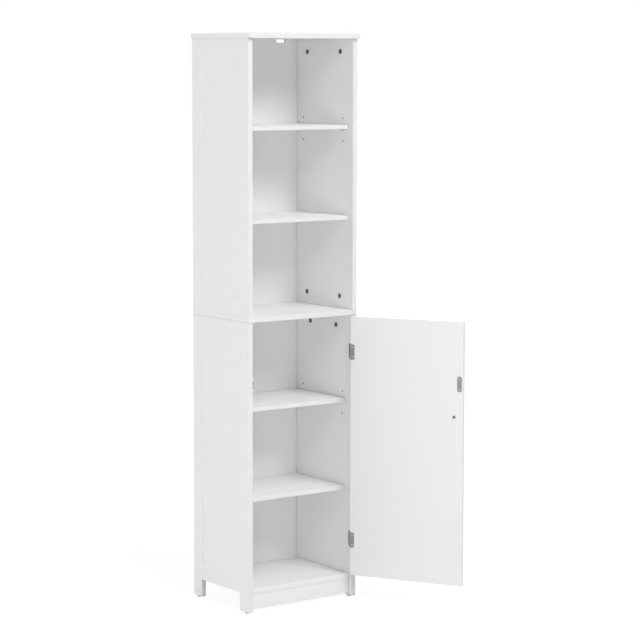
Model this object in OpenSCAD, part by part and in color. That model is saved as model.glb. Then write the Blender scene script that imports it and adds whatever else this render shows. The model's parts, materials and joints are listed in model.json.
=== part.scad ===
// Tall narrow cabinet: three open compartments above, a cupboard with one side-hung door below.
// Millimetres. The origin is on the floor under the middle of the carcass.
// The front faces -Y, the left side of someone facing it is -X, and +Z is up.

/* [Overall] */
// Width over the two side panels
width = 392; // [340:1:480]
// Depth of the side panels, front edge to back edge
depth = 295; // [265:1:360]
// Height from the floor to the top face of the top board
height = 1700; // [1600:1:1900]
// Height from the floor to the underside of the middle board
lower_height = 863; // [780:1:950]

/* [Boards] */
// Thickness of the side panels
side_t = 15; // [15:0.5:20]
// Thickness of the top board
top_t = 15; // [14:0.5:25]
// Thickness of the middle board
middle_t = 15; // [14:0.5:25]
// Thickness of the bottom board
bottom_t = 15; // [15:0.5:25]
// Thickness of the shelves
shelf_t = 12; // [11:0.5:20]
// How far the top board reaches past each side panel
top_side_overhang = 4; // [0:0.5:20]
// How far the top board reaches past the front edges
top_front_overhang = 10; // [0:0.5:30]

/* [Foot] */
// Clear height under the bottom board and in the side cut-outs
foot_h = 57; // [45:0.5:90]
// Length of the foot at the front of a side panel
front_foot_l = 47; // [35:1:70]
// Length of the foot at the back of a side panel
back_foot_l = 43; // [35:1:70]
// Height of the plinth's lower edge above the floor
plinth_lift = 11; // [5:0.5:20]
// Thickness of the plinth
plinth_t = 15; // [12:0.5:20]
// How far the plinth stands back from the front edges
plinth_setback = 12; // [2:0.5:22]
// How far the bottom board stands back from the front edges
bottom_setback = 10; // [0:0.5:14]
// Thickness of the plastic glides under the feet
glide_h = 4; // [2:0.5:8]
// Diameter of the glides
glide_d = 14; // [10:0.5:15]
// Distance of a glide's middle from the end of its foot
glide_inset = 20; // [12:0.5:24]

/* [Framed faces] */
// Width of the raised border round the sunk field of a side panel or the door
border_w = 48; // [46:1:70]
// Depth of the sunk field
field_depth = 2; // [0.5:0.5:2.5]
// Width of the sloping edge of the sunk field
field_slope = 4; // [1:0.5:8]

/* [Shelves] */
// Underside of the upper fixed shelf above the middle board
upper_fixed_height = 270; // [200:1:350]
// Underside of the upper adjustable shelf above the middle board
upper_loose_height = 540; // [460:1:600]
// Underside of the lower fixed shelf above the bottom board
lower_fixed_height = 255.5; // [180:0.5:320]
// Underside of the lower adjustable shelf above the bottom board
lower_loose_height = 523.5; // [440:0.5:570]
// How far the upper shelves stand back from the front edges
upper_shelf_setback = 22; // [5:0.5:60]
// How far the lower shelves stand back from the front edges
lower_shelf_setback = 32; // [32:0.5:60]
// Gap at each end of an adjustable shelf
shelf_end_gap = 1; // [0.5:0.1:2]
// Gap between an adjustable shelf and the back panel
shelf_back_gap = 1; // [0.5:0.1:5]
// Diameter of a shelf pin
pin_d = 5; // [4:0.1:6]
// Length of a shelf pin
pin_l = 16; // [14:0.5:20]
// Depth of a shelf pin hole
pin_hole_depth = 8.5; // [7:0.5:10]
// Height between neighbouring pin holes
pin_pitch = 33.5; // [25:0.5:40]
// Distance of the front pin holes from the front edge
pin_front_inset = 49; // [40:0.5:70]
// Distance of the back pin holes from the back edge
pin_back_inset = 44; // [30:0.5:70]

/* [Back panels] */
// Thickness of the back panels
back_t = 3; // [2.5:0.1:5]
// Distance of the back panels from the back edges
back_inset = 8; // [6:0.5:15]
// Width of the two slots for a wall strap, in the top edge of the upper back panel
strap_slot_w = 30; // [15:1:45]
// Height of the strap slots under the top board
strap_slot_h = 9; // [6:0.5:20]
// Distance of the strap slots' middles from the middle of the cabinet
strap_slot_offset = 118.5; // [60:0.5:140]
// Dark line that shows between the grooves' front faces and the back panels
groove_gap = 0.9; // [0.3:0.1:1.5]
// Depth of the side panels' grooves that hold the back panels
side_groove_depth = 6; // [4:0.5:7]
// Depth of the horizontal boards' grooves that hold the back panels
board_groove_depth = 4; // [3:0.5:5]

/* [Door] */
// Thickness of the door
door_t = 15; // [15:0.5:18]
// Gap round the door at its top, bottom and free edge
door_gap = 1.5; // [1:0.1:4]
// How far the door stands open, in degrees
door_open = 120; // [0:1:175]
// Distance of the knob's axis from the door's free edge
knob_inset = 27; // [20:1:45]
// Distance of the knob's axis from the door's top edge
knob_drop = 283; // [200:1:380]
// Diameter of the knob
knob_d = 28; // [20:1:36]
// How far the knob stands out from the door
knob_l = 24; // [20:1:35]
// Diameter of the knob's screw
knob_screw_d = 4; // [3:0.1:5]

/* [Hinges] */
// Height of a hinge
hinge_h = 46; // [40:1:70]
// Distance of a hinge's middle from the door's top or bottom edge
hinge_inset = 108; // [80:1:160]
// Thickness of the hinge leaves
leaf_t = 1; // [0.8:0.1:1.2]
// Width of the leaf on the side panel
frame_leaf_w = 15; // [14:0.5:24]
// Width of the leaf on the back of the door
door_leaf_w = 14.5; // [14:0.5:24]
// Gap between the two leaves of a closed hinge
leaf_gap = 0.4; // [0.3:0.05:0.8]
// Outer diameter of the knuckles
knuckle_d = 5; // [4.5:0.1:6]
// Number of knuckles of one hinge
knuckle_count = 5; // [3:2:7]
// Gap between neighbouring knuckles
knuckle_gap = 0.4; // [0.3:0.05:0.8]
// Diameter of the hinge pin
hinge_pin_d = 2.5; // [2:0.1:3]
// Distance between the two screws of a leaf
leaf_screw_pitch = 29.4; // [20:0.2:34]

/* [Catch] */
// Distance of the catch's middle from the door's top edge
catch_drop = 185; // [160:0.5:260]
// Height of the catch and of its plate
catch_h = 46; // [40:1:60]
// How far the catch stands out from the side panel
catch_w = 15; // [14:0.5:20]
// Depth of the catch, front to back
catch_d = 13; // [12:0.5:14]
// Thickness of the catch's screw lugs
lug_t = 3; // [2.5:0.1:4]
// Width of the plate on the door
plate_w = 13.5; // [13:0.5:20]
// Thickness of the plate on the door
plate_t = 1.2; // [1:0.1:2]
// Distance of the plate from the door's free edge
plate_inset = 4; // [3.5:0.5:6.5]
// Gap between the closed door's plate and the catch
catch_gap = 0.4; // [0.3:0.05:1]

/* [Fittings] */
// Diameter of a cam lock
cam_d = 15; // [12:0.5:15]
// Height of a cam lock
cam_h = 12; // [11:0.1:12.3]
// Distance of a cam lock's middle from the end of its panel
cam_inset = 37; // [30:0.5:38]
// Distance of the bolts and dowels from the panel's inner face
bolt_line = 7.5; // [6.5:0.1:8]
// Distance of the upper cam locks from the front and back edges
upper_cam_edge = 64; // [40:0.5:85]
// Distance of the lower cam locks from the front and back edges
lower_cam_edge = 82; // [70:0.5:100]
// Distance of the bottom cam locks from the front and back edges
bottom_cam_edge = 64; // [50:0.5:90]
// Diameter of a dowel
dowel_d = 8; // [6:0.5:8]
// Length of a dowel
dowel_l = 30; // [25:1:35]
// Length of the dowel's end that sits in a board's face
dowel_seat = 10; // [8:0.5:10]
// Distance of the middle board's dowels from mid-depth
dowel_shift = 25; // [10:1:35]
// Diameter of the wood screws
screw_d = 3; // [2.5:0.1:3.5]
// Length of the wood screws
screw_l = 12; // [10:0.5:12.5]

/* [Hidden] */

$fn = 48;

// Play of a turning or loose piece in its hole, and of a driven-in piece
play = 0.05;
tight = 0.02;
// Play at the bottom of a blind hole
end_play = 0.5;
// A cutting tool reaches this far past the face that it opens
past = 1;

board_white = [0.93, 0.93, 0.92];
inside_white = [0.90, 0.90, 0.89];
steel = [0.62, 0.62, 0.61];
dark_metal = [0.36, 0.36, 0.36];
ferrite = [0.16, 0.16, 0.16];
beech = [0.83, 0.72, 0.53];
white_plastic = [0.92, 0.92, 0.91];
grey_plastic = [0.72, 0.72, 0.71];

// The carcass's main planes
outer_x = width / 2;
inner_x = outer_x - side_t;
front_y = -depth / 2;
back_y = depth / 2;
side_z = glide_h;
bottom_top_z = foot_h + bottom_t;
middle_top_z = lower_height + middle_t;
top_under_z = height - top_t;
bolt_x = inner_x + bolt_line;

// The back panels: their faces, and the fit in their grooves
back_face_y = back_y - back_inset - play - back_t;
groove_front_y = back_face_y - groove_gap;
groove_back_y = back_y - back_inset;
panel_x = inner_x + side_groove_depth - end_play;

// The door when closed, and its pivot in front of the gap at its hinged edge
hinge_gap = 2 * leaf_t + leaf_gap;
door_left_x = -inner_x + door_gap;
door_right_x = inner_x - hinge_gap;
door_bottom_z = bottom_top_z + door_gap;
door_top_z = lower_height - door_gap;
door_back_y = front_y + door_t;
knuckle_r = knuckle_d / 2;
knuckle_stand = 0.5;
pivot_x = inner_x - hinge_gap / 2;
pivot_y = front_y - knuckle_r - knuckle_stand;
knob_x = door_left_x + knob_inset;
knob_z = door_top_z - knob_drop;
top_hinge_z = door_top_z - hinge_inset;
bottom_hinge_z = door_bottom_z + hinge_inset;
knuckle_h = (hinge_h - (knuckle_count - 1) * knuckle_gap) / knuckle_count;
pin_head_r = 2;
pin_head_h = 0.8;
pin_head_taper = 0.4;
leaf_corner = 5;
leaf_screw_edge = 6.5;
frame_screw_y = front_y + frame_leaf_w - leaf_screw_edge;
door_screw_x = door_right_x + leaf_t - door_leaf_w + leaf_screw_edge;
leaf_screw_rises = [-leaf_screw_pitch / 2, leaf_screw_pitch / 2];

// Wood screws: countersunk heads flush with what they hold
screw_r = screw_d / 2;
screw_head_rim = 1.3;
screw_head_r = screw_r + screw_head_rim;
screw_head_h = 1.6;
screw_tip = 3;
drive_l = 2.8;
drive_w = 0.6;
drive_depth = 0.9;

// The catch and its plate
catch_z = door_top_z - catch_drop;
plate_left_x = door_left_x + plate_inset;
plate_face_y = door_back_y + plate_t;
plate_corner = 6;
plate_screw_edge = 8;
plate_screw_zs = [
    catch_z - catch_h / 2 + plate_screw_edge, catch_z + catch_h / 2 - plate_screw_edge
];
pole_t = 1.5;
magnet_t = 3;
magnet_h = 22;
magnet_d = 8;
pole_reach = 0.5;
pole_front_y = plate_face_y + catch_gap;
housing_front_y = pole_front_y + pole_reach;
housing_wall = 1.2;
stack_right_x = -inner_x + catch_w - housing_wall;
stack_left_x = stack_right_x - 2 * pole_t - magnet_t;
stack_back_y = housing_front_y + magnet_d;
lug_h = 8;
lug_screw_y = housing_front_y + catch_d / 2;
lug_screw_zs = [catch_z - (catch_h - lug_h) / 2, catch_z + (catch_h - lug_h) / 2];

// The cam fittings
cam_r = cam_d / 2;
cam_slot_w = 4;
cam_pocket_w = 6.2;
cam_pocket_play = 0.4;
cam_bore_play = 0.1;
cam_cross_l = 8;
cam_cross_w = 1.6;
cam_cross_depth = 2.2;
thread_r = 2.9;
thread_l = 10;
thread_chamfer = 0.8;
collar_r = 3.7;
collar_h = 2;
shank_r = 3;
shank_stop = 2;
neck_r = 1.6;
neck_taper = 1;
bolt_head_r = 2.8;
bolt_head_h = 2.4;
bolt_bore_r = 4;
dowel_r = dowel_d / 2;
dowel_chamfer = 0.8;

// Fronts and heights of the shelves, and the rows of pin holes below the adjustable ones
upper_shelf_y = front_y + upper_shelf_setback;
lower_shelf_y = front_y + lower_shelf_setback;
upper_fixed_z = middle_top_z + upper_fixed_height;
upper_loose_z = middle_top_z + upper_loose_height;
lower_fixed_z = bottom_top_z + lower_fixed_height;
lower_loose_z = bottom_top_z + lower_loose_height;
pin_r = pin_d / 2;
pin_chamfer = 0.5;
pin_ys = [front_y + pin_front_inset, back_y - pin_back_inset];
upper_pin_z = upper_loose_z - pin_r;
lower_pin_z = lower_loose_z - pin_r;

// Places of the cam fittings and dowels along the depth
upper_cam_ys = [front_y + upper_cam_edge, back_y - upper_cam_edge];
lower_cam_ys = [front_y + lower_cam_edge, back_y - lower_cam_edge];
bottom_cam_ys = [front_y + bottom_cam_edge, back_y - bottom_cam_edge];
shelf_dowel_inset = 45;
upper_dowel_ys = [upper_shelf_y + shelf_dowel_inset, back_face_y - shelf_dowel_inset];
lower_dowel_ys = [lower_shelf_y + shelf_dowel_inset, back_face_y - shelf_dowel_inset];
plinth_dowel_inset = 60;
plinth_dowel_x = inner_x - plinth_dowel_inset;
plinth_mid_y = front_y + plinth_setback + plinth_t / 2;
plinth_dowel_z = (plinth_lift + foot_h) / 2;
glide_x = inner_x + side_t / 2;
glide_r = glide_d / 2;
glide_chamfer = 0.8;
glide_pin_r = 1.2;
glide_pin_l = 14;
glide_point_l = 2;

// The knob and its screw
knob_base_r = 8;
knob_base_h = 2;
knob_neck_r = 5;
knob_flare_h = 4;
knob_rim_h = 6;
knob_dome_r = 1.5 * knob_d;
knob_bore_depth = 10;
knob_screw_head_r = 4;
knob_screw_head_h = 2.2;
knob_drive_l = 4;
knob_drive_w = 0.9;
knob_drive_depth = 1.2;

// Small shared shapes

// A box from its low corner to its high corner
module box(low, high) {
    translate(low) cube(high - low);
}

// Turns +Z into the +X or -X direction
module along_x(sign = 1) {
    rotate([0, 90 * sign, 0]) children();
}

// Turns +Z into +Y
module along_y() {
    rotate([-90, 0, 0]) children();
}

// Turns +Z into -Z
module downwards() {
    mirror([0, 0, 1]) children();
}

// Cutter for a sunk field with sloping edges: its mouth lies on z = 0 and it sinks to -field_depth
module sunk_field(w, h) {
    intersection() {
        field_bar(w, 2 * h);
        rotate(90) field_bar(h, 2 * w);
    }
}

// A bar along Y, as wide as the field on z = 0, with the field's slope on both sides
module field_bar(w, l) {
    floor_x = w / 2 - field_slope;
    mouth_x = w / 2 + field_slope * past / field_depth;
    rotate([90, 0, 0])
        linear_extrude(height = l, center = true)
            polygon([
                [-floor_x, -field_depth], [floor_x, -field_depth], [mouth_x, past], [-mouth_x, past]
            ]);
}

// Cutter for a crossed drive recess in a face on z = 0
module cross_recess(l, w, depth) {
    for (turn = [0, 90])
        rotate(turn) translate([-l / 2, -w / 2, -depth]) cube([l, w, depth + past]);
}

// A countersunk wood screw, its head flush with z = 0 and its tip down
module wood_screw() {
    difference() {
        rotate_extrude()
            polygon([
                [0, -screw_l], [screw_r, screw_tip - screw_l], [screw_r, -screw_head_h],
                [screw_head_r, 0], [0, 0]
            ]);
        cross_recess(drive_l, drive_w, drive_depth);
    }
}

// The hole that a wood screw fills, in a plate or lug and in the board behind it
module screw_hole() {
    r = screw_r + play;
    head_r = screw_head_r + play;
    translate([0, 0, -screw_l - end_play]) cylinder(r = r, h = screw_l + end_play);
    translate([0, 0, -screw_head_h]) cylinder(r1 = r, r2 = head_r, h = screw_head_h);
    cylinder(r = head_r, h = past);
}

// A flat plate with round corners, from x = 0 to w, centred on z = 0, y from 0 to t
module round_plate(w, h, t, corner) {
    translate([0, 0, -h / 2 + corner]) cube([w, t, h - 2 * corner]);
    translate([corner, 0, -h / 2]) cube([w - 2 * corner, t, h]);
    for (x = [corner, w - corner], z = [corner - h / 2, h / 2 - corner])
        translate([x, 0, z]) along_y() cylinder(r = corner, h = t);
}

// Moves a closed door's piece to where the door stands open
module opened() {
    translate([pivot_x, pivot_y, 0])
        rotate([0, 0, door_open])
            translate([-pivot_x, -pivot_y, 0]) children();
}

// Cam fittings and dowels, each in its own frame

// A cam lock: its slotted face lies on z = 0, and its bolt comes along +Y at z = -bolt_line
module cam_lock() {
    pocket_back = bolt_head_h + cam_pocket_play;
    difference() {
        translate([0, 0, -cam_h]) cylinder(r = cam_r, h = cam_h);
        translate([-cam_slot_w / 2, -cam_r - past, -bolt_line - cam_slot_w / 2])
            cube([cam_slot_w, cam_r + past, cam_slot_w]);
        translate([-cam_pocket_w / 2, -pocket_back, -bolt_line - cam_pocket_w / 2])
            cube([cam_pocket_w, pocket_back + cam_pocket_play, cam_pocket_w]);
        cross_recess(cam_cross_l, cam_cross_w, cam_cross_depth);
    }
}

// The pocket for a cam lock
module cam_hole() {
    translate([0, 0, -cam_h - end_play])
        cylinder(r = cam_r + cam_bore_play, h = cam_h + end_play + past);
}

// A cam bolt: its thread fills the board below z = 0 and its head reaches the cam's middle
module cam_bolt() {
    shank_end = cam_inset - cam_r - shank_stop;
    rotate_extrude()
        polygon([
            [0, -thread_l], [thread_r - thread_chamfer, -thread_l],
            [thread_r, -thread_l + thread_chamfer], [thread_r, 0],
            [collar_r, 0], [collar_r, collar_h], [shank_r, collar_h], [shank_r, shank_end],
            [neck_r, shank_end + neck_taper], [neck_r, cam_inset - bolt_head_h],
            [bolt_head_r, cam_inset - bolt_head_h], [bolt_head_r, cam_inset], [0, cam_inset]
        ]);
}

// The bolt's hole in the board that it is screwed into
module thread_hole() {
    translate([0, 0, -thread_l - end_play])
        cylinder(r = thread_r + play, h = thread_l + end_play + past);
}

// The bolt's bore in the end of the panel that holds the cam lock
module bolt_bore() {
    translate([0, 0, -past]) cylinder(r = bolt_bore_r, h = cam_inset + past);
}

// A dowel: its short seat is below z = 0, in a board's face, and the rest is in a panel's end
module dowel() {
    top = dowel_l - dowel_seat;
    rotate_extrude()
        polygon([
            [0, -dowel_seat], [dowel_r - dowel_chamfer, -dowel_seat],
            [dowel_r, -dowel_seat + dowel_chamfer], [dowel_r, top - dowel_chamfer],
            [dowel_r - dowel_chamfer, top], [0, top]
        ]);
}

// A dowel's hole, in the board and in the panel
module dowel_hole() {
    translate([0, 0, -dowel_seat - end_play])
        cylinder(r = dowel_r + play, h = dowel_l + 2 * end_play);
}

// Where the fittings are. Each module repeats its children, drawn in the frames above.
// A side is -1 on the left and 1 on the right.

// Upper side panels under the top board
module at_top_joints(ys, sides = [-1, 1]) {
    for (side = sides, y = ys)
        translate([side * bolt_x, y, top_under_z]) downwards() children();
}

// Upper side panels on the middle board
module at_middle_upper_joints(ys, sides = [-1, 1]) {
    for (side = sides, y = ys)
        translate([side * bolt_x, y, middle_top_z]) children();
}

// Lower side panels under the middle board
module at_middle_lower_joints(ys, sides = [-1, 1]) {
    for (side = sides, y = ys)
        translate([side * bolt_x, y, lower_height]) downwards() children();
}

// The bottom board's ends against the lower side panels
module at_bottom_joints(ys, sides = [-1, 1]) {
    for (side = sides, y = ys)
        translate([side * inner_x, y, foot_h + bolt_line]) along_x(-side) children();
}

// Cam locks in the inner face of a side panel, with the bolt coming from below where up is 1
module at_side_cams(z, ys, up, sides = [-1, 1]) {
    for (side = sides, y = ys)
        translate([side * inner_x, y, z]) along_x(-side) rotate(-up * side * 90) children();
}

// Cam locks in the underside of the bottom board
module at_bottom_cams() {
    for (side = [-1, 1], y = bottom_cam_ys)
        translate([side * (inner_x - cam_inset), y, foot_h]) downwards() rotate(side * 90) children();
}

// The ends of a fixed shelf
module at_shelf_ends(z, ys, sides = [-1, 1]) {
    for (side = sides, y = ys)
        translate([side * inner_x, y, z + shelf_t / 2]) along_x(-side) children();
}

// The ends of the plinth
module at_plinth_ends(sides = [-1, 1]) {
    for (side = sides)
        translate([side * inner_x, plinth_mid_y, plinth_dowel_z]) along_x(-side) children();
}

// The top edge of the plinth, under the bottom board
module at_plinth_top() {
    for (side = [-1, 1])
        translate([side * plinth_dowel_x, plinth_mid_y, foot_h]) downwards() children();
}

// Shelf pins: the shelf lies on row 0, and empty rows are above and below it
module at_pins(z, rows, sides = [-1, 1]) {
    for (side = sides, y = pin_ys, row = rows)
        translate([side * inner_x, y, z + row * pin_pitch]) along_x(side) children();
}

// Feet: a glide under each end of a lower side panel
module at_foot(side, end) {
    translate([side * glide_x, end * (depth / 2 - glide_inset), 0]) children();
}

// Screws of the leaf on the side panel, of the leaf on the closed door, and of the plate there
module at_frame_screws(z) {
    for (rise = leaf_screw_rises)
        translate([inner_x - leaf_t, frame_screw_y, z + rise]) along_x(-1) children();
}

module at_door_screws(z) {
    for (rise = leaf_screw_rises)
        translate([door_screw_x, door_back_y + leaf_t, z + rise]) along_y() children();
}

module at_plate_screws() {
    for (z = plate_screw_zs)
        translate([plate_left_x + plate_w / 2, plate_face_y, z]) along_y() children();
}

module at_catch_screws() {
    for (z = lug_screw_zs)
        translate([-inner_x + lug_t, lug_screw_y, z]) along_x(1) children();
}

// Boards

// Groove for a back panel in the inner face of a side panel, from z = low to high
module side_groove(side, low, high) {
    inner = side * (inner_x - past);
    bottom = side * (inner_x + side_groove_depth);
    box(
        [min(inner, bottom), groove_front_y, low],
        [max(inner, bottom), groove_back_y, high]
    );
}

// Groove for a back panel's top or bottom edge, half_l long each way, from z = low to high
module board_groove(half_l, low, high) {
    box([-half_l, groove_front_y, low], [half_l, groove_back_y, high]);
}

// A plain side panel with the sunk field on its outer face
module side_blank(side, low, high, field_low) {
    near = side * inner_x;
    far = side * outer_x;
    field_high = high - border_w;
    difference() {
        box([min(near, far), front_y, low], [max(near, far), back_y, high]);
        translate([far, 0, (field_low + field_high) / 2])
            along_x(side) sunk_field(field_high - field_low, depth - 2 * border_w);
    }
}

module top_board() {
    color(board_white)
        difference() {
            box(
                [-outer_x - top_side_overhang, front_y - top_front_overhang, top_under_z],
                [outer_x + top_side_overhang, back_y, height]
            );
            board_groove(panel_x + end_play, top_under_z - past, top_under_z + board_groove_depth);
            at_top_joints(upper_cam_ys) thread_hole();
            at_top_joints([0]) dowel_hole();
        }
}

module upper_side(side) {
    color(board_white)
        difference() {
            side_blank(side, middle_top_z, top_under_z, middle_top_z + border_w);
            side_groove(side, middle_top_z - past, top_under_z + past);
            at_top_joints(upper_cam_ys, [side]) bolt_bore();
            at_top_joints([0], [side]) dowel_hole();
            at_middle_upper_joints(upper_cam_ys, [side]) bolt_bore();
            at_middle_upper_joints([-dowel_shift], [side]) dowel_hole();
            at_side_cams(top_under_z - cam_inset, upper_cam_ys, -1, [side]) cam_hole();
            at_side_cams(middle_top_z + cam_inset, upper_cam_ys, 1, [side]) cam_hole();
            at_shelf_ends(upper_fixed_z, upper_dowel_ys, [side]) dowel_hole();
            at_pins(upper_pin_z, [-1, 0, 1], [side]) pin_hole();
        }
}

module middle_board() {
    groove_half = panel_x + end_play;
    color(board_white)
        difference() {
            box([-outer_x, front_y, lower_height], [outer_x, back_y, middle_top_z]);
            board_groove(groove_half, middle_top_z - board_groove_depth, middle_top_z + past);
            board_groove(groove_half, lower_height - past, lower_height + board_groove_depth);
            at_middle_upper_joints(upper_cam_ys) thread_hole();
            at_middle_upper_joints([-dowel_shift]) dowel_hole();
            at_middle_lower_joints(lower_cam_ys) thread_hole();
            at_middle_lower_joints([dowel_shift]) dowel_hole();
        }
}

module lower_side(side) {
    near = side * (inner_x - past);
    far = side * (outer_x + past);
    color(board_white)
        difference() {
            side_blank(side, side_z, lower_height, foot_h + border_w);
            box(
                [min(near, far), front_y + front_foot_l, side_z - past],
                [max(near, far), back_y - back_foot_l, foot_h]
            );
            side_groove(side, side_z - past, lower_height + past);
            at_middle_lower_joints(lower_cam_ys, [side]) bolt_bore();
            at_middle_lower_joints([dowel_shift], [side]) dowel_hole();
            at_side_cams(lower_height - cam_inset, lower_cam_ys, -1, [side]) cam_hole();
            at_bottom_joints(bottom_cam_ys, [side]) thread_hole();
            at_bottom_joints([0], [side]) dowel_hole();
            at_shelf_ends(lower_fixed_z, lower_dowel_ys, [side]) dowel_hole();
            at_plinth_ends([side]) dowel_hole();
            at_pins(lower_pin_z, [-1, 0, 1], [side]) pin_hole();
            for (end = [-1, 1])
                at_foot(side, end) glide_hole();
            if (side > 0) {
                at_frame_screws(top_hinge_z) screw_hole();
                at_frame_screws(bottom_hinge_z) screw_hole();
            } else {
                at_catch_screws() screw_hole();
            }
        }
}

module bottom_board() {
    color(board_white)
        difference() {
            box([-inner_x, front_y + bottom_setback, foot_h], [inner_x, back_y, bottom_top_z]);
            board_groove(inner_x + past, bottom_top_z - board_groove_depth, bottom_top_z + past);
            at_bottom_joints(bottom_cam_ys) bolt_bore();
            at_bottom_joints([0]) dowel_hole();
            at_bottom_cams() cam_hole();
            at_plinth_top() dowel_hole();
        }
}

module plinth() {
    color(board_white)
        difference() {
            box(
                [-inner_x, front_y + plinth_setback, plinth_lift],
                [inner_x, front_y + plinth_setback + plinth_t, foot_h]
            );
            at_plinth_ends() dowel_hole();
            at_plinth_top() dowel_hole();
        }
}

// A back panel that stands on the floor of its lower groove
module back_blank(low, high) {
    box(
        [-panel_x, back_face_y, low - board_groove_depth],
        [panel_x, back_face_y + back_t, high + board_groove_depth - end_play]
    );
}

// The upper panel's strap slots are open at its top edge
module upper_back_panel() {
    color(inside_white)
        difference() {
            back_blank(middle_top_z, top_under_z);
            for (middle = [-strap_slot_offset, strap_slot_offset])
                box(
                    [middle - strap_slot_w / 2, back_face_y - past, top_under_z - strap_slot_h],
                    [middle + strap_slot_w / 2, back_y, height]
                );
        }
}

module lower_back_panel() {
    color(inside_white) back_blank(bottom_top_z, lower_height);
}

module fixed_shelf(z, front, dowel_ys) {
    color(board_white)
        difference() {
            box([-inner_x, front, z], [inner_x, back_face_y, z + shelf_t]);
            at_shelf_ends(z, dowel_ys) dowel_hole();
        }
}

module loose_shelf(z, front) {
    color(board_white)
        box(
            [shelf_end_gap - inner_x, front, z],
            [inner_x - shelf_end_gap, back_face_y - shelf_back_gap, z + shelf_t]
        );
}

// Small fittings of the carcass

// A shelf pin in its hole, its round nose under the shelf
module shelf_pin() {
    translate([0, 0, pin_hole_depth - end_play - pin_l])
        rotate_extrude()
            polygon([
                [0, 0], [pin_r - pin_chamfer, 0], [pin_r, pin_chamfer],
                [pin_r, pin_l - pin_chamfer], [pin_r - pin_chamfer, pin_l], [0, pin_l]
            ]);
}

module pin_hole() {
    translate([0, 0, -past]) cylinder(r = pin_r + play, h = pin_hole_depth + past);
}

module shelf_pins() {
    color(steel) {
        at_pins(upper_pin_z, [0]) shelf_pin();
        at_pins(lower_pin_z, [0]) shelf_pin();
    }
}

module cam_locks() {
    color(dark_metal) {
        at_side_cams(top_under_z - cam_inset, upper_cam_ys, -1) cam_lock();
        at_side_cams(middle_top_z + cam_inset, upper_cam_ys, 1) cam_lock();
        at_side_cams(lower_height - cam_inset, lower_cam_ys, -1) cam_lock();
        at_bottom_cams() cam_lock();
    }
}

module cam_bolts() {
    color(steel) {
        at_top_joints(upper_cam_ys) cam_bolt();
        at_middle_upper_joints(upper_cam_ys) cam_bolt();
        at_middle_lower_joints(lower_cam_ys) cam_bolt();
        at_bottom_joints(bottom_cam_ys) cam_bolt();
    }
}

module dowels() {
    color(beech) {
        at_top_joints([0]) dowel();
        at_middle_upper_joints([-dowel_shift]) dowel();
        at_middle_lower_joints([dowel_shift]) dowel();
        at_bottom_joints([0]) dowel();
        at_shelf_ends(upper_fixed_z, upper_dowel_ys) dowel();
        at_shelf_ends(lower_fixed_z, lower_dowel_ys) dowel();
        at_plinth_ends() dowel();
        at_plinth_top() dowel();
    }
}

// A nail-on glide under one end of a side panel
module foot_glide(side, end) {
    color(grey_plastic)
        at_foot(side, end)
            rotate_extrude()
                polygon([
                    [0, 0], [glide_r - glide_chamfer, 0], [glide_r, glide_chamfer],
                    [glide_r, glide_h], [glide_pin_r, glide_h],
                    [glide_pin_r, glide_h + glide_pin_l - glide_point_l], [0, glide_h + glide_pin_l]
                ]);
}

module glide_hole() {
    cylinder(r = glide_pin_r + play, h = glide_h + glide_pin_l + end_play);
}

// The door and what rides on it, all drawn closed and then opened

module door() {
    color(board_white)
        opened()
            difference() {
                box([door_left_x, front_y, door_bottom_z], [door_right_x, door_back_y, door_top_z]);
                translate([
                    (door_left_x + door_right_x) / 2, front_y, (door_bottom_z + door_top_z) / 2
                ])
                    rotate([90, 0, 0])
                        sunk_field(
                            door_right_x - door_left_x - 2 * border_w,
                            door_top_z - door_bottom_z - 2 * border_w
                        );
                at_door_screws(top_hinge_z) screw_hole();
                at_door_screws(bottom_hinge_z) screw_hole();
                at_plate_screws() screw_hole();
                translate([knob_x, front_y - past, knob_z])
                    along_y() cylinder(r = knob_screw_d / 2 + play, h = door_t + 2 * past);
            }
}

// A turned knob with a foot, a waist and a domed head
module door_knob() {
    head_z = knob_l - knob_rim_h;
    color(steel)
        opened()
            translate([knob_x, front_y, knob_z])
                rotate([90, 0, 0])
                    difference() {
                        union() {
                            cylinder(r = knob_base_r, h = knob_base_h);
                            cylinder(r = knob_neck_r, h = head_z);
                            translate([0, 0, head_z - knob_flare_h])
                                cylinder(r1 = knob_neck_r, r2 = knob_d / 2, h = knob_flare_h);
                            intersection() {
                                translate([0, 0, head_z]) cylinder(r = knob_d / 2, h = knob_rim_h);
                                translate([0, 0, knob_l - knob_dome_r]) sphere(r = knob_dome_r);
                            }
                        }
                        translate([0, 0, -past])
                            cylinder(r = knob_screw_d / 2 + tight, h = knob_bore_depth + past);
                    }
}

// The knob's machine screw, from the back of the door
module knob_screw() {
    color(dark_metal)
        opened()
            translate([knob_x, door_back_y, knob_z])
                along_y()
                    difference() {
                        union() {
                            translate([0, 0, end_play - door_t - knob_bore_depth])
                                cylinder(r = knob_screw_d / 2, h = door_t + knob_bore_depth);
                            cylinder(r = knob_screw_head_r, h = knob_screw_head_h);
                        }
                        translate([0, 0, knob_screw_head_h])
                            cross_recess(knob_drive_l, knob_drive_w, knob_drive_depth);
                    }
}

module strike_plate() {
    color(steel)
        opened()
            difference() {
                translate([plate_left_x, door_back_y, catch_z])
                    round_plate(plate_w, catch_h, plate_t, plate_corner);
                at_plate_screws() screw_hole();
            }
}

module strike_screws() {
    color(steel) opened() at_plate_screws() wood_screw();
}

// Hinges: the pin stands in front of the gap, and the door's leaf folds round to the door's back

// Repeats its children at the foot of every second knuckle, from knuckle first
module at_knuckles(z, first) {
    for (i = [first : 2 : knuckle_count - 1])
        translate([pivot_x, pivot_y, z - hinge_h / 2 + i * (knuckle_h + knuckle_gap)]) children();
}

module pin_bore(z, clearance) {
    translate([pivot_x, pivot_y, z - hinge_h / 2 - past])
        cylinder(r = hinge_pin_d / 2 + clearance, h = hinge_h + 2 * past);
}

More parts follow.
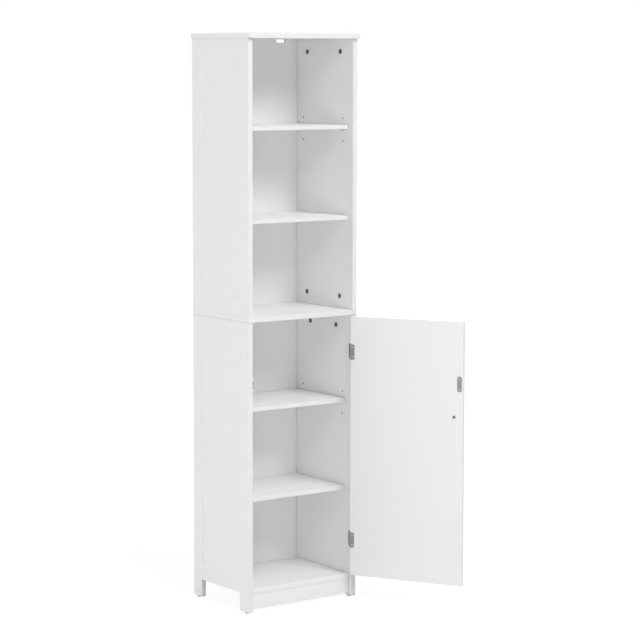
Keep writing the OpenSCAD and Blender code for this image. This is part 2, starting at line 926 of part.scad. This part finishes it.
// The knuckles of one leaf, with the tabs that join them to it between x = low and high
module knuckles(z, first, low, high) {
    at_knuckles(z, first) {
        cylinder(r = knuckle_r, h = knuckle_h);
        box([low - pivot_x, 0, 0], [high - pivot_x, front_y - pivot_y, knuckle_h]);
    }
}

module frame_leaf(z) {
    color(steel)
        difference() {
            union() {
                translate([inner_x, front_y, z])
                    rotate(90) round_plate(frame_leaf_w, hinge_h, leaf_t, leaf_corner);
                box(
                    [inner_x - leaf_t, front_y, z - hinge_h / 2],
                    [inner_x, front_y + frame_leaf_w / 2, z + hinge_h / 2]
                );
                knuckles(z, 1, inner_x - leaf_t, inner_x);
            }
            pin_bore(z, tight);
            at_frame_screws(z) screw_hole();
        }
}

module door_leaf(z) {
    outer = door_right_x + leaf_t;
    color(steel)
        opened()
            difference() {
                union() {
                    translate([outer - door_leaf_w, door_back_y, z])
                        round_plate(door_leaf_w, hinge_h, leaf_t, leaf_corner);
                    box(
                        [outer - door_leaf_w / 2, door_back_y, z - hinge_h / 2],
                        [outer, door_back_y + leaf_t, z + hinge_h / 2]
                    );
                    box(
                        [door_right_x, front_y, z - hinge_h / 2],
                        [outer, door_back_y + leaf_t, z + hinge_h / 2]
                    );
                    knuckles(z, 0, door_right_x, outer);
                }
                pin_bore(z, play);
                at_door_screws(z) screw_hole();
            }
}

// The pin, driven into the side panel's leaf, with a head past each end knuckle
module hinge_pin(z) {
    reach = hinge_h / 2 + knuckle_gap;
    color(steel)
        translate([pivot_x, pivot_y, z]) {
            cylinder(r = hinge_pin_d / 2, h = 2 * reach, center = true);
            translate([0, 0, reach]) pin_head();
            translate([0, 0, -reach]) downwards() pin_head();
        }
}

module pin_head() {
    cylinder(r1 = pin_head_r, r2 = pin_head_r - pin_head_taper, h = pin_head_h);
}

module hinge_frame_screws() {
    color(steel) {
        at_frame_screws(top_hinge_z) wood_screw();
        at_frame_screws(bottom_hinge_z) wood_screw();
    }
}

module hinge_door_screws() {
    color(steel)
        opened() {
            at_door_screws(top_hinge_z) wood_screw();
            at_door_screws(bottom_hinge_z) wood_screw();
        }
}

// The magnetic catch on the left side panel

module catch_housing() {
    block_half = catch_h / 2 - lug_h;
    color(white_plastic)
        difference() {
            union() {
                box(
                    [-inner_x, housing_front_y, catch_z - block_half],
                    [-inner_x + catch_w, housing_front_y + catch_d, catch_z + block_half]
                );
                box(
                    [-inner_x, housing_front_y, catch_z - catch_h / 2],
                    [-inner_x + lug_t, housing_front_y + catch_d, catch_z + catch_h / 2]
                );
            }
            box(
                [stack_left_x - play, housing_front_y - past, catch_z - magnet_h / 2 - play],
                [stack_right_x + play, stack_back_y, catch_z + magnet_h / 2 + play]
            );
            at_catch_screws() screw_hole();
        }
}

// A steel pole strip beside the magnet, from x = left
module catch_pole(left) {
    color(steel)
        box(
            [left, pole_front_y, catch_z - magnet_h / 2],
            [left + pole_t, stack_back_y, catch_z + magnet_h / 2]
        );
}

module catch_magnet() {
    color(ferrite)
        box(
            [stack_left_x + pole_t, housing_front_y, catch_z - magnet_h / 2],
            [stack_right_x - pole_t, stack_back_y, catch_z + magnet_h / 2]
        );
}

module catch_screws() {
    color(steel) at_catch_screws() wood_screw();
}

top_board();
upper_side(-1);  // upper_side_left
upper_side(1);  // upper_side_right
upper_back_panel();
loose_shelf(upper_loose_z, upper_shelf_y);  // upper_adjustable_shelf
fixed_shelf(upper_fixed_z, upper_shelf_y, upper_dowel_ys);  // upper_fixed_shelf
middle_board();
lower_side(-1);  // lower_side_left
lower_side(1);  // lower_side_right
lower_back_panel();
loose_shelf(lower_loose_z, lower_shelf_y);  // lower_adjustable_shelf
fixed_shelf(lower_fixed_z, lower_shelf_y, lower_dowel_ys);  // lower_fixed_shelf
bottom_board();
plinth();
door();
door_knob();
knob_screw();
strike_plate();
strike_screws();
frame_leaf(top_hinge_z);  // top_hinge_frame_leaf
door_leaf(top_hinge_z);  // top_hinge_door_leaf
hinge_pin(top_hinge_z);  // top_hinge_pin
frame_leaf(bottom_hinge_z);  // bottom_hinge_frame_leaf
door_leaf(bottom_hinge_z);  // bottom_hinge_door_leaf
hinge_pin(bottom_hinge_z);  // bottom_hinge_pin
hinge_frame_screws();
hinge_door_screws();
catch_housing();
catch_magnet();
catch_pole(stack_right_x - pole_t);  // catch_pole_inner
catch_pole(stack_left_x);  // catch_pole_outer
catch_screws();
shelf_pins();
cam_locks();
cam_bolts();
dowels();
foot_glide(-1, -1);  // foot_glide_front_left
foot_glide(1, -1);  // foot_glide_front_right
foot_glide(-1, 1);  // foot_glide_back_left
foot_glide(1, 1);  // foot_glide_back_right
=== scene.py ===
"""Looks of the tall cabinet: its finishes, softened edges, light and camera."""
import json
import math

import bpy
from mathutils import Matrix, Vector


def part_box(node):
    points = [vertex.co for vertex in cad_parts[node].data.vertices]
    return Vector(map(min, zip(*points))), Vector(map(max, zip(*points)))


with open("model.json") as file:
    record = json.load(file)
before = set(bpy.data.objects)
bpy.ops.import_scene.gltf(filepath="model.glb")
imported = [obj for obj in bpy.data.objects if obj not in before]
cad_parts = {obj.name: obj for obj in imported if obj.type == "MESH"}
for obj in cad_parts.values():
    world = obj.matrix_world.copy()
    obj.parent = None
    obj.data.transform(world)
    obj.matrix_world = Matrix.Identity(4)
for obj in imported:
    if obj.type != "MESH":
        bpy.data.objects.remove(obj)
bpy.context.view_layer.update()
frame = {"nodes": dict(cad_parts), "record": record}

MM = 0.001
WHITE = (1.0, 1.0, 1.0)
nodes = frame["nodes"]


# Camera: the place and lens solved from the corners of the cabinet in the photograph

PHOTO_SIZE = 640
FOCAL_PIXELS = 2200.9
OPTICAL_CENTRE = (279.4, 302.1)
SENSOR_MM = 36.0
CLIP_END = 200.0
CAMERA_PLACE = (-3.781, -5.375, 1.601)
TURN_DEGREES = 35.251
DIP_DEGREES = 6.091


def make_camera():
    data = bpy.data.cameras.new("camera")
    data.sensor_width = SENSOR_MM
    data.lens = FOCAL_PIXELS * SENSOR_MM / PHOTO_SIZE
    data.shift_x = 0.5 - OPTICAL_CENTRE[0] / PHOTO_SIZE
    data.shift_y = OPTICAL_CENTRE[1] / PHOTO_SIZE - 0.5
    data.clip_end = CLIP_END
    camera = bpy.data.objects.new("camera", data)
    camera.location = CAMERA_PLACE
    camera.rotation_euler = (math.radians(90 - DIP_DEGREES), 0, math.radians(-TURN_DEGREES))
    bpy.context.scene.collection.objects.link(camera)
    bpy.context.scene.camera = camera


make_camera()


# Node trees

class Tree:
    """A node tree, with short ways to add and link its nodes."""

    def __init__(self, tree):
        self.tree = tree

    def add(self, kind, **settings):
        node = self.tree.nodes.new(kind)
        for name, value in settings.items():
            setattr(node, name, value)
        return node

    def feed(self, socket, value):
        """Links an output to a socket, or sets the socket to a number, a name or a colour."""
        if isinstance(value, bpy.types.NodeSocket):
            self.tree.links.new(value, socket)
        elif isinstance(value, tuple):
            socket.default_value = (*value, 1.0)
        else:
            socket.default_value = value

    def filled(self, kind, *values, **settings):
        """The first output of a new node whose first sockets have these values."""
        node = self.add(kind, **settings)
        for socket, value in zip(node.inputs, values):
            self.feed(socket, value)
        return node.outputs[0]

    def math(self, operation, *values):
        return self.filled("ShaderNodeMath", *values, operation=operation)

    def ease(self, value, low, high, start=0.0, end=1.0):
        """Goes from start to end as the value goes from low to high, and stays there."""
        return self.filled("ShaderNodeMapRange", value, low, high, start, end)

    def choose(self, share, first, second):
        """The first shader where the share is 0, and the second where it is 1."""
        return self.filled("ShaderNodeMixShader", share, first, second)

    def seen_directly(self):
        """1 for what the camera, a mirror or glass shows, and 0 for what lights the object."""
        path = self.add("ShaderNodeLightPath")
        total = path.outputs["Is Camera Ray"]
        for ray in ("Is Glossy Ray", "Is Transmission Ray"):
            total = self.math("MAXIMUM", total, path.outputs[ray])
        return total


# The sockets that a Mix node uses for colours, by number, because they share their names with others
MIX_FIRST = 6
MIX_SECOND = 7
MIX_RESULT = 2
# Nearly all values of a noise texture lie between these
NOISE_LOW = 0.3
NOISE_HIGH = 0.7
# The cosine between the true and the rounded direction where an edge starts to show, and shows in full
EDGE_START = 0.995
EDGE_FULL = 0.9
EDGE_SAMPLES = 6
# The share of open surroundings where the painted shade of a crevice starts to show, and shows in full
CREVICE_START = 0.85
CREVICE_FULL = 0.25
CREVICE_SAMPLES = 8


class Finish(Tree):
    """A material with one Principled shader, and short ways to add the nodes that feed it."""

    def __init__(self, name):
        self.material = bpy.data.materials.new(name)
        self.material.use_nodes = True
        super().__init__(self.material.node_tree)
        self.principled = self.tree.nodes["Principled BSDF"]
        self.place = self.add("ShaderNodeTexCoord").outputs["Object"]

    def split(self, vector):
        """The X, Y and Z of a vector, in the position of its body at rest."""
        node = self.add("ShaderNodeSeparateXYZ")
        self.feed(node.inputs[0], vector)
        return node.outputs

    def facing_back(self):
        """1 where the surface faces straight back, and -1 where it faces the front."""
        return self.split(self.add("ShaderNodeTexCoord").outputs["Normal"])["Y"]

    def between(self, value, low, high):
        """1 where the value lies between low and high, else 0."""
        above = self.math("GREATER_THAN", value, low)
        below = self.math("LESS_THAN", value, high)
        return self.math("MULTIPLY", above, below)

    def stretched(self, factors):
        """The place, scaled along each axis by these factors, for streaks and grain."""
        node = self.add("ShaderNodeMapping")
        self.feed(node.inputs["Vector"], self.place)
        node.inputs["Scale"].default_value = factors
        return node.outputs[0]

    def noise(self, size, detail=2.0, vector=None):
        """Noise whose features are about this size, in metres."""
        node = self.add("ShaderNodeTexNoise")
        self.feed(node.inputs["Vector"], vector or self.place)
        node.inputs["Scale"].default_value = 1 / size
        node.inputs["Detail"].default_value = detail
        return node.outputs["Fac"]

    def spread(self, noise, start=0.0, end=1.0):
        """Goes from start to end over a noise's usual values."""
        return self.ease(noise, NOISE_LOW, NOISE_HIGH, start, end)

    def blend(self, share, first, second):
        """A colour between the first and the second."""
        node = self.add("ShaderNodeMix", data_type="RGBA")
        self.feed(node.inputs["Factor"], share)
        self.feed(node.inputs[MIX_FIRST], first)
        self.feed(node.inputs[MIX_SECOND], second)
        return node.outputs[MIX_RESULT]

    def bump(self, height, depth, below=None):
        """A normal bumped by a height from 0 to 1 that stands for this depth, in metres."""
        node = self.add("ShaderNodeBump")
        node.inputs["Strength"].default_value = 1.0
        node.inputs["Distance"].default_value = depth
        self.feed(node.inputs["Height"], height)
        if below:
            self.feed(node.inputs["Normal"], below)
        return node.outputs[0]

    def edges(self, radius):
        """1 along sharp edges, falling to 0 at this distance from them."""
        rounded = self.add("ShaderNodeBevel", samples=EDGE_SAMPLES)
        rounded.inputs["Radius"].default_value = radius
        straight = self.add("ShaderNodeNewGeometry").outputs["Normal"]
        cosine = self.add("ShaderNodeVectorMath", operation="DOT_PRODUCT")
        self.feed(cosine.inputs[0], rounded.outputs[0])
        self.feed(cosine.inputs[1], straight)
        return self.ease(cosine.outputs["Value"], EDGE_START, EDGE_FULL)

    def shaded_crevices(self, reach):
        """1 deep in narrow seams and corners, where painted shade goes, falling to 0 on open surfaces."""
        node = self.add("ShaderNodeAmbientOcclusion", samples=CREVICE_SAMPLES)
        node.inputs["Distance"].default_value = reach
        return self.ease(node.outputs["AO"], CREVICE_START, CREVICE_FULL)

    def finish(self, colour, roughness, normal, metallic=0.0):
        self.feed(self.principled.inputs["Base Color"], colour)
        self.feed(self.principled.inputs["Roughness"], roughness)
        self.feed(self.principled.inputs["Metallic"], metallic)
        self.feed(self.principled.inputs["Normal"], normal)
        return self.material


# Finishes, each with the size of what it shows in metres

PAINT = (0.89, 0.89, 0.888)
# The door's white is the same paint as the boards, painted darker as shade on the open door
SHADED_DOOR_PAINT = (0.805, 0.805, 0.803)
PRINT = (0.88, 0.88, 0.878)
FIBRE = (0.36, 0.29, 0.22)
FIBRE_DARK = (0.24, 0.185, 0.14)
# Raw fibre inside a drilled hole, painted nearly black as its shade
DRILLED_FIBRE_AND_SHADE = (0.05, 0.045, 0.04)
BEECH = (0.66, 0.48, 0.29)
BEECH_RING = (0.52, 0.35, 0.19)
BEECH_FLECK = (0.38, 0.24, 0.13)
BEECH_ROUGH = 0.7
FERRITE = (0.05, 0.05, 0.052)
FERRITE_DARK = (0.025, 0.025, 0.027)
# Tones of the painted boards, as shares of the clean paint's
# The tones of the faces that face the front, on most boards, on the foot and on the door: partly an edge
# band, partly painted shade where the front lamps light those faces most
EDGE_BAND_AND_SHADE = 0.81
FOOT_BAND_AND_SHADE = 0.86
NO_BAND_OR_SHADE = 1.0
CLOUD_TONE = 0.985
MOTTLE_TONE = 0.955
RUBBED_TONE = 0.88
# Painted shade in seams and corners
CREVICE_SHADE_TONE = 0.65
# Painted shade inside an open joint
SEAM_SHADE_TONE = 0.1
# Tones of the other finishes, as shares of their plain colour
DRILLED_TONE = 0.6
PRINT_TONE = 0.975
METAL_DARK = 0.78
METAL_BRIGHT = 1.3
PLASTIC_TONE = 0.94
SCUFF_TONE = 0.8
# Added to each colour channel where plastic is scuffed
SCUFF_PALER = 0.14
# A face that is turned to the back by less than this faces the front
FACES_FRONT = -0.5
# How far above and below the seam's height its painted shade lies
SEAM_REACH = 2.0 * MM
# How far the worn edges of metal go to its bright tone
METAL_WORN = 0.6
# How much rougher a drilled hole is than the paint, and the marks of metal than the rest
DRILLED_ROUGHER = 0.45
MARKS_ROUGHER = 0.06
# How far a roughness strays below and above its plain value
SMOOTHER = 0.06
ROUGHER = 0.08
# How much finer a texture is along X, Y and Z: marks of rolling are 14 times finer upwards than across
EVEN = (1.0, 1.0, 1.0)
ROLLED = (1.0, 1.0, 14.0)
MATTED = (1.0, 1.0, 0.35)
SCUFFED = (1.0, 3.0, 1.0)
GRAIN_ALONG_X = (0.15, 1.0, 1.0)


def scaled(colour, factor):
    return tuple(c * factor for c in colour)


def fibre_colour(finish):
    """Raw fibreboard: short matted fibres over soft blotches."""
    strands = finish.noise(2.2 * MM, detail=5.0, vector=finish.stretched(MATTED))
    blotches = finish.noise(60 * MM, detail=3.0)
    mixed = finish.math("MULTIPLY", strands, finish.spread(blotches, start=0.75, end=1.15))
    return finish.blend(finish.ease(mixed, low=0.3, high=0.75), FIBRE_DARK, FIBRE)


def paint(name, white=PAINT, band_and_shade=EDGE_BAND_AND_SHADE, seam=None, raw=None):
    """White satin paint on fibreboard. The tone given for the faces that face the front stands partly for an
    edge band and partly for painted shade, where the front lamps light those faces most. seam is the height
    of an open joint, whose dark inside is painted shade. raw is the low and high corner of the board's bare
    core, where x is counted away from
    the middle: what shows inside it is a drilled hole, whose raw fibre is painted nearly black as its shade."""
    f = Finish(name)
    colour = f.blend(f.spread(f.noise(280 * MM)), white, scaled(white, CLOUD_TONE))
    mottled = f.ease(f.noise(14 * MM, detail=3.0), low=0.45, high=0.8, end=0.35)
    colour = f.blend(mottled, colour, scaled(white, MOTTLE_TONE))
    # Faces that face the front are darker: partly an edge band, partly painted shade
    front_band_and_shade = f.ease(f.facing_back(), low=-0.1, high=-0.6)
    colour = f.blend(front_band_and_shade, colour, scaled(white, band_and_shade))
    worn = f.ease(f.noise(9 * MM, detail=4.0), low=0.45, high=0.7, start=0.08, end=0.6)
    rubbed = f.math("MULTIPLY", f.edges(1.2 * MM), worn)
    colour = f.blend(rubbed, colour, scaled(white, RUBBED_TONE))
    # Painted shade deep in seams and corners
    crevice_shade = f.shaded_crevices(4 * MM)
    colour = f.blend(crevice_shade, colour, scaled(white, CREVICE_SHADE_TONE))
    if seam:
        height = f.split(f.place)["Z"]
        # Painted shade inside the open joint at the seam's height
        seam_shade = f.math("MULTIPLY", crevice_shade, f.between(height, seam - SEAM_REACH, seam + SEAM_REACH))
        colour = f.blend(seam_shade, colour, scaled(white, SEAM_SHADE_TONE))
    sheen = f.spread(f.noise(45 * MM, detail=4.0), start=0.36, end=0.46)
    if raw:
        bare = inside(f, *raw)
        # Inside drilled holes the raw fibre is painted nearly black, as painted shade
        drilled_and_shaded = f.blend(f.spread(f.noise(1.5 * MM, detail=4.0)), DRILLED_FIBRE_AND_SHADE, scaled(DRILLED_FIBRE_AND_SHADE, DRILLED_TONE))
        colour = f.blend(bare, colour, drilled_and_shaded)
        sheen = f.math("ADD", sheen, f.math("MULTIPLY", bare, DRILLED_ROUGHER))
    peel = f.bump(f.noise(2.4 * MM, detail=1.5), depth=0.05 * MM)
    waves = f.bump(f.noise(38 * MM, detail=1.0), depth=0.10 * MM, below=peel)
    grain = f.bump(f.noise(0.5 * MM), depth=0.012 * MM, below=waves)
    return f.finish(colour, sheen, grain)


def inside(finish, low, high):
    """1 between these corners of a side panel's core, on either side of the cabinet, else 0."""
    x, y, z = finish.split(finish.place)
    within = finish.between(finish.math("ABSOLUTE", x), low.x, high.x)
    within = finish.math("MULTIPLY", within, finish.between(y, low.y, high.y))
    return finish.math("MULTIPLY", within, finish.between(z, low.z, high.z))


def back_board():
    """Thin hardboard, printed white towards the inside and raw behind."""
    f = Finish("back_board")
    behind = f.math("GREATER_THAN", f.facing_back(), FACES_FRONT)
    printed = f.blend(f.spread(f.noise(120 * MM, detail=3.0)), PRINT, scaled(PRINT, PRINT_TONE))
    colour = f.blend(behind, printed, fibre_colour(f))
    pressed = f.noise(1.6 * MM, detail=3.0)
    relief = f.math("MULTIPLY", pressed, f.ease(behind, low=0.0, high=1.0, start=0.35))
    rough = f.ease(behind, low=0.0, high=1.0, start=0.5, end=0.85)
    return f.finish(colour, rough, f.bump(relief, depth=0.08 * MM))


def metal(name, colour, rough, relief, pits, stretch=EVEN):
    """Bare or plated metal, worn brighter along its edges. relief and pits are the depths of its broad and of
    its fine marks, and stretch draws the broad ones out."""
    f = Finish(name)
    marks = f.noise(9 * MM, detail=4.0, vector=f.stretched(stretch))
    cloud = f.noise(6 * MM, detail=3.0)
    dark = scaled(colour, METAL_DARK)
    bright = scaled(colour, METAL_BRIGHT)
    shade = f.blend(f.ease(cloud, low=0.3, high=0.75), colour, dark)
    shade = f.blend(f.ease(marks, low=0.4, high=0.8, end=0.5), shade, dark)
    shade = f.blend(f.math("MULTIPLY", f.edges(0.5 * MM), METAL_WORN), shade, bright)
    gloss = f.ease(cloud, low=0.2, high=0.8, start=rough - SMOOTHER, end=rough + ROUGHER)
    gloss = f.math("ADD", gloss, f.math("MULTIPLY", marks, MARKS_ROUGHER))
    normal = f.bump(marks, depth=relief)
    normal = f.bump(f.noise(0.7 * MM), depth=pits, below=normal)
    return f.finish(shade, gloss, normal, metallic=1.0)


def plastic(name, colour, rough):
    """Moulded plastic with a fine spark-eroded grain and a few paler scuffs."""
    f = Finish(name)
    scratches = f.noise(5 * MM, detail=5.0, vector=f.stretched(SCUFFED))
    scuffs = f.ease(scratches, low=0.58, high=0.72, end=0.4)
    scuffed = tuple(SCUFF_TONE * c + SCUFF_PALER for c in colour)
    shade = f.blend(f.spread(f.noise(20 * MM)), colour, scaled(colour, PLASTIC_TONE))
    shade = f.blend(scuffs, shade, scuffed)
    gloss = f.spread(f.noise(3 * MM, detail=3.0), rough - SMOOTHER, rough + ROUGHER)
    return f.finish(shade, gloss, f.bump(f.noise(0.35 * MM, detail=1.0), depth=0.02 * MM))


def beech():
    """Raw beech, with its grain along X and short dark flecks."""
    f = Finish("dowel_wood")
    rings = f.noise(3 * MM, detail=4.0, vector=f.stretched(GRAIN_ALONG_X))
    flecks = f.ease(f.noise(1.2 * MM), low=0.6, high=0.75, end=0.7)
    shade = f.blend(f.spread(rings), BEECH, BEECH_RING)
    shade = f.blend(flecks, shade, BEECH_FLECK)
    return f.finish(shade, BEECH_ROUGH, f.bump(rings, depth=0.1 * MM))


def ferrite():
    """Sintered ferrite: dark, fine-grained and matt."""
    f = Finish("magnet")
    grains = f.noise(0.6 * MM, detail=3.0)
    shade = f.blend(f.spread(grains), FERRITE, FERRITE_DARK)
    return f.finish(shade, f.spread(grains, start=0.5, end=0.7), f.bump(grains, depth=0.03 * MM))


# Which CAD node gets which finish

# How far inside a board's faces its bare core starts
SKIN = 0.35 * MM
# How deep the outer face of a side panel is sunk
FIELD_DEPTH = 2.0 * MM


def bare_core(panel, floor=None):
    """The part of a side panel that no painted face reaches, from the panel's low end or from floor up."""
    low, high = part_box(panel)
    inner, outer = sorted((abs(low.x), abs(high.x)))
    return (
        Vector((inner + SKIN, low.y + SKIN, (floor or low.z) + SKIN)),
        Vector((outer - FIELD_DEPTH - SKIN, high.y - SKIN, high.z - SKIN)),
    )


cutout_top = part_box("bottom_board")[0].z
middle_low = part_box("middle_board")[0].z
FINISHES = {
    "white_board": paint("white_paint"),
    "back_board": back_board(),
    "dowel_wood": beech(),
    "steel": metal(
        "plated_steel", (0.31, 0.31, 0.308), rough=0.34, relief=0.02 * MM, pits=0.01 * MM, stretch=ROLLED
    ),
    "knob_metal": metal(
        "satin_nickel", (0.50, 0.485, 0.46), rough=0.26, relief=0.01 * MM, pits=0.004 * MM
    ),
    "dark_zinc": metal(
        "zinc_casting", (0.16, 0.16, 0.16), rough=0.45, relief=0.02 * MM, pits=0.05 * MM
    ),
    "magnet": ferrite(),
    "white_plastic": plastic("white_plastic", (0.84, 0.84, 0.83), rough=0.42),
    "glide_plastic": plastic("glide_plastic", (0.50, 0.50, 0.495), rough=0.5),
}
OWN_FINISH = {
    # The door: the same paint, a step darker as painted shade
    "door": paint("door_paint_shaded", SHADED_DOOR_PAINT, NO_BAND_OR_SHADE),
    "middle_board": paint("middle_board_paint", seam=middle_low),
    # The bottom board and plinth: their front faces take a lighter mix of edge band and painted shade
    "bottom_board": paint("bottom_board_paint", band_and_shade=FOOT_BAND_AND_SHADE),
    "plinth": paint("plinth_paint", band_and_shade=FOOT_BAND_AND_SHADE),
    "shelf_pins": metal(
        "bright_steel", (0.74, 0.74, 0.735), rough=0.28, relief=0.01 * MM, pits=0.006 * MM
    ),
}
screws = metal("screw_steel", (0.48, 0.48, 0.475), rough=0.30, relief=0.01 * MM, pits=0.01 * MM)
for name in ("hinge_frame_screws", "hinge_door_screws", "strike_screws", "catch_screws"):
    OWN_FINISH[name] = screws
upper_sides = paint("upper_side_paint", raw=bare_core("upper_side_left"))
lower_sides = paint("lower_side_paint", seam=middle_low, raw=bare_core("lower_side_left", cutout_top))
for side in ("left", "right"):
    OWN_FINISH["upper_side_" + side] = upper_sides
    OWN_FINISH["lower_side_" + side] = lower_sides


def dress(name, finish):
    """Gives every slot of a CAD node this finish."""
    thing = nodes[name]
    if not thing.material_slots:
        thing.data.materials.append(finish)
    for place in thing.material_slots:
        place.link = "OBJECT"
        place.material = finish


# Softened edges of the boards

# The names that Blender reads edge weights and crisp edges by
EDGE_WEIGHT = "bevel_weight_edge"
CRISP_EDGE = "sharp_edge"
# Only an edge that is longer than the first and turns by more than the second is rounded
SHORTEST_EASED = 6 * MM
SHARPEST_LEFT = math.radians(35)
# Corners closer than the first are joined, and so are faces that turn by less than the second
WELDED = 0.002 * MM
FLAT = math.radians(0.5)
# How wide the rounding is on most boards, and on the side panels
EASED = 0.7 * MM
EASED_SIDES = {
    "lower_side_left": 1.1 * MM,
    "lower_side_right": 1.1 * MM,
    "upper_side_left": 0.3 * MM,
    "upper_side_right": 0.3 * MM,
}


def long_edge_marker():
    """Geometry nodes that mark a board's long sharp edges for rounding, so that drilled holes keep their
    crisp rims."""
    group = bpy.data.node_groups.new("long_edge_marker", "GeometryNodeTree")
    for way in ("INPUT", "OUTPUT"):
        group.interface.new_socket("Geometry", in_out=way, socket_type="NodeSocketGeometry")
    tree = Tree(group)
    ends = tree.add("GeometryNodeInputMeshEdgeVertices")
    length = tree.add("ShaderNodeVectorMath", operation="DISTANCE")
    tree.feed(length.inputs[0], ends.outputs["Position 1"])
    tree.feed(length.inputs[1], ends.outputs["Position 2"])
    angle = tree.add("GeometryNodeInputMeshEdgeAngle").outputs["Unsigned Angle"]
    long = tree.math("GREATER_THAN", length.outputs["Value"], SHORTEST_EASED)
    sharp = tree.math("GREATER_THAN", angle, SHARPEST_LEFT)
    shape = tree.add("NodeGroupInput").outputs[0]
    shape = store_on_edges(tree, shape, CRISP_EDGE, "BOOLEAN", sharp)
    shape = store_on_edges(tree, shape, EDGE_WEIGHT, "FLOAT", tree.math("MULTIPLY", long, sharp))
    tree.feed(tree.add("NodeGroupOutput").inputs[0], shape)
    return group


def store_on_edges(tree, shape, name, kind, value):
    """The shape with a value stored on each edge under this name."""
    node = tree.add("GeometryNodeStoreNamedAttribute", domain="EDGE", data_type=kind)
    tree.feed(node.inputs["Geometry"], shape)
    tree.feed(node.inputs["Name"], name)
    tree.feed(node.inputs["Value"], value)
    return node.outputs["Geometry"]


MARKER = long_edge_marker()


def soften(name, width):
    """Rounds the long sharp edges of a CAD node. The weld joins the corners that the import splits, and the
    decimation joins the thin triangles of its flat faces."""
    thing = nodes[name]
    weld = thing.modifiers.new("weld", "WELD")
    weld.merge_threshold = WELDED
    whole = thing.modifiers.new("whole_faces", "DECIMATE")
    whole.decimate_type = "DISSOLVE"
    whole.angle_limit = FLAT
    thing.modifiers.new("marked_edges", "NODES").node_group = MARKER
    bevel = thing.modifiers.new("soft_edges", "BEVEL")
    bevel.width = width
    bevel.segments = 2
    bevel.limit_method = "WEIGHT"
    bevel.edge_weight = EDGE_WEIGHT
    bevel.harden_normals = True
    bevel.use_clamp_overlap = False


for part in frame["record"]["subparts"]:
    node, slot = part["node"], part["material_slot"]
    dress(node, OWN_FINISH.get(node, FINISHES[slot]))
    if slot == "white_board":
        soften(node, EASED_SIDES.get(node, EASED))


# Light: a pale room, three lamps high in front, and one each for the left side, the foot and the back

MIDDLE = (0.0, 0.0, 0.85)
FOOT = (0.0, 0.0, 0.4)
# How bright the room is where it lights the object, and where it is shown
ROOM_LIGHT = 0.30
SHOWN_LIGHT = 1.0


def lamp(name, place, target, size, watts):
    data = bpy.data.lights.new(name, "AREA")
    data.shape = "SQUARE"
    data.size = size
    data.energy = watts
    thing = bpy.data.objects.new(name, data)
    thing.location = place
    thing.rotation_euler = (Vector(target) - Vector(place)).to_track_quat("-Z", "Y").to_euler()
    bpy.context.scene.collection.objects.link(thing)


lamp("key_far", (0.8, -5.0, 5.2), MIDDLE, size=2.2, watts=172)
lamp("key_steep", (0.2, -2.2, 5.0), MIDDLE, size=1.6, watts=34)
lamp("key_left", (-1.2, -2.6, 3.2), MIDDLE, size=1.2, watts=25)
lamp("fill_left", (-3.4, 1.0, 2.0), MIDDLE, size=2.0, watts=38)
lamp("fill_low", (-1.6, -2.2, 0.35), FOOT, size=1.0, watts=14)
lamp("fill_back", (2.6, 3.2, 2.4), MIDDLE, size=2.4, watts=60)


def make_room():
    """A plain room that lights the object softly, and shows as white."""
    world = bpy.data.worlds.new("room")
    world.use_nodes = True
    world.node_tree.nodes.clear()
    tree = Tree(world.node_tree)
    lit = tree.filled("ShaderNodeBackground", WHITE, ROOM_LIGHT)
    shown = tree.filled("ShaderNodeBackground", WHITE, SHOWN_LIGHT)
    out = tree.add("ShaderNodeOutputWorld")
    tree.feed(out.inputs["Surface"], tree.choose(tree.seen_directly(), lit, shown))
    bpy.context.scene.world = world


FLOOR_HALF = 40.0
# Its tone where it lights the object, and the darker one that keeps the shadow where it is shown
FLOOR_TONE = 0.80
FLOOR_SHOWN = 0.15
# The light added to the shown floor near the cabinet and far from it, and the distances where each holds
NEAR_LIFT = 0.90
FAR_LIFT = 1.0
NEAR_DISTANCE = 0.8
FAR_DISTANCE = 3.0


def make_floor():
    """A white floor. What the camera and mirrors show of it is lifted to the background's white, and keeps a
    soft shadow."""
    mesh = bpy.data.meshes.new("floor")
    corners = [(-1, -1), (1, -1), (1, 1), (-1, 1)]
    mesh.from_pydata([(x * FLOOR_HALF, y * FLOOR_HALF, 0) for x, y in corners], [], [(0, 1, 2, 3)])
    floor = bpy.data.objects.new("floor", mesh)
    bpy.context.scene.collection.objects.link(floor)
    material = bpy.data.materials.new("floor")
    material.use_nodes = True
    material.node_tree.nodes.clear()
    tree = Tree(material.node_tree)
    matt = tree.filled("ShaderNodeBsdfDiffuse", scaled(WHITE, FLOOR_TONE))
    shadow = tree.filled("ShaderNodeBsdfDiffuse", scaled(WHITE, FLOOR_SHOWN))
    length = tree.add("ShaderNodeVectorMath", operation="LENGTH")
    tree.feed(length.inputs[0], tree.add("ShaderNodeTexCoord").outputs["Object"])
    distance = length.outputs["Value"]
    strength = tree.ease(distance, NEAR_DISTANCE, FAR_DISTANCE, NEAR_LIFT, FAR_LIFT)
    lift = tree.filled("ShaderNodeEmission", WHITE, strength)
    shown = tree.filled("ShaderNodeAddShader", shadow, lift)
    out = tree.add("ShaderNodeOutputMaterial")
    tree.feed(out.inputs["Surface"], tree.choose(tree.seen_directly(), matt, shown))
    mesh.materials.append(material)


make_room()
make_floor()

bpy.context.scene.view_settings.view_transform = "Standard"
